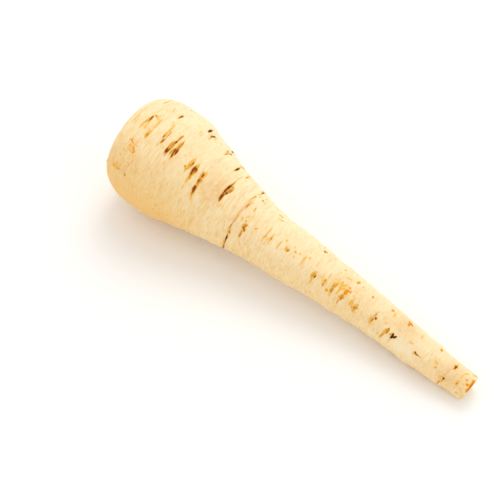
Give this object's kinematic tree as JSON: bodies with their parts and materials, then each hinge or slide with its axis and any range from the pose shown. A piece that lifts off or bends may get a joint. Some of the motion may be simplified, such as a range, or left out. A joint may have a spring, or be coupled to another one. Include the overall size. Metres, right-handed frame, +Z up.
{
  "type": "parsnip root",
  "caption": "A whole raw parsnip root, trimmed at crown and tip, lying on its side: broad rounded shoulder tapering to a slim cut tip, cream skin with brown rootlet scars.",
  "frame": {"origin": "centre of the overall box on the surface that the root lies on", "axes": "+X along the root from its crown to its cut tip, +Z up, away from the surface it lies on"},
  "size_m": [0.2248, 0.0594, 0.0615],
  "materials": {
    "skin": "satin"
  },
  "bodies": {
    "root": {"parsnip_root": "skin"}
  },
  "joints": []
}
